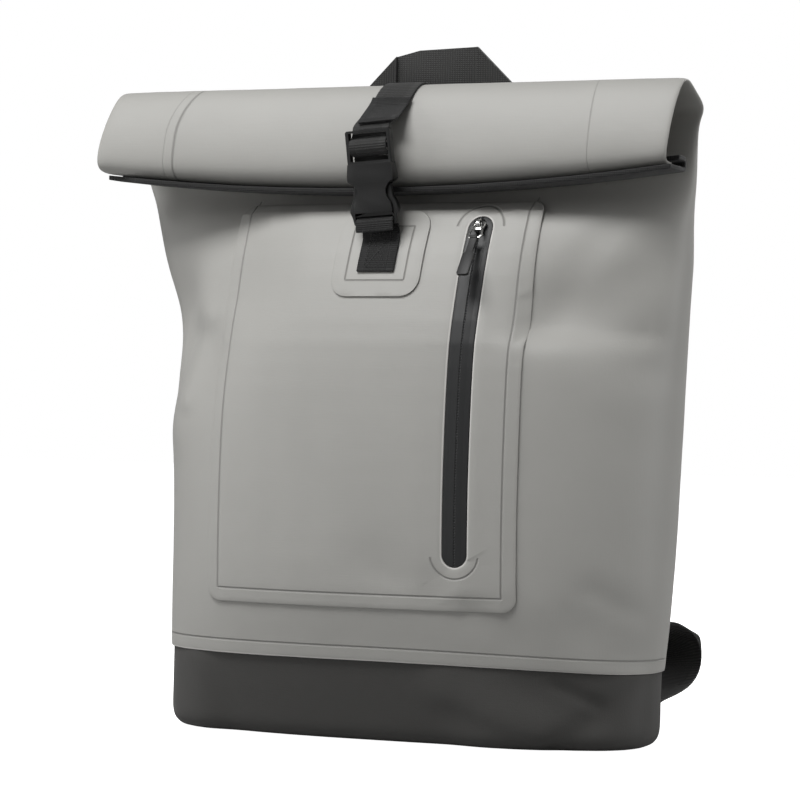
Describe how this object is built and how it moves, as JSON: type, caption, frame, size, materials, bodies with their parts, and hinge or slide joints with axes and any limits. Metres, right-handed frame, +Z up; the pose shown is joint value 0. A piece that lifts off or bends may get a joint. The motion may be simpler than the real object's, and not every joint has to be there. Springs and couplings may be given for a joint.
{
  "type": "roll-top backpack",
  "caption": "Roll-top cycling backpack of grey coated cloth on a charcoal base, rolled shut and buckled, with a zipped front pocket, a carry handle and padded shoulder straps.",
  "frame": {"origin": "on the floor, under the middle of the mouth, on the flat underside of the base", "axes": "+Z up, -Y out of the bag's front, +X to the right seen from the front"},
  "size_m": [0.4002, 0.1801, 0.447],
  "materials": {
    "grey_coated_cloth": "smooth coated cloth, soft sheen",
    "charcoal_cloth": "heavier coated cloth, fine grain, matt",
    "black_webbing": "ribbed woven webbing",
    "black_mesh": "padded knitted mesh",
    "black_nylon": "moulded nylon, satin",
    "black_rubber": "coated zip tape and moulded pull, satin",
    "chromed_metal": "bright plated metal"
  },
  "bodies": {
    "bag": {"bag_shell": "grey_coated_cloth", "base_tub": "charcoal_cloth", "mouth_binding": "black_webbing", "pocket_panel": "grey_coated_cloth", "zip_tape": "black_rubber", "buckle_patch": "grey_coated_cloth", "zip_slider": "chromed_metal", "buckle_socket": "black_nylon", "buckle_key": "black_nylon", "closing_strap": "black_webbing", "strap_keeper": "black_webbing", "buckle_tab": "black_webbing", "carry_handle": "black_webbing", "shoulder_strap_left": "black_mesh", "shoulder_strap_right": "black_mesh", "strap_adjuster_left": "black_nylon", "strap_adjuster_right": "black_nylon", "lower_webbing_left": "black_webbing", "lower_webbing_right": "black_webbing"},
    "pull": {"zip_link": "chromed_metal", "zip_pull": "black_rubber"}
  },
  "joints": [
    {"name": "pull_swing", "type": "hinge", "parent": "bag", "child": "pull", "pos_m": [0.06802, -0.02821, 0.32645], "axis": [-0.9998, -0.0059, -0.0193], "range_deg": [0, 130]}
  ]
}
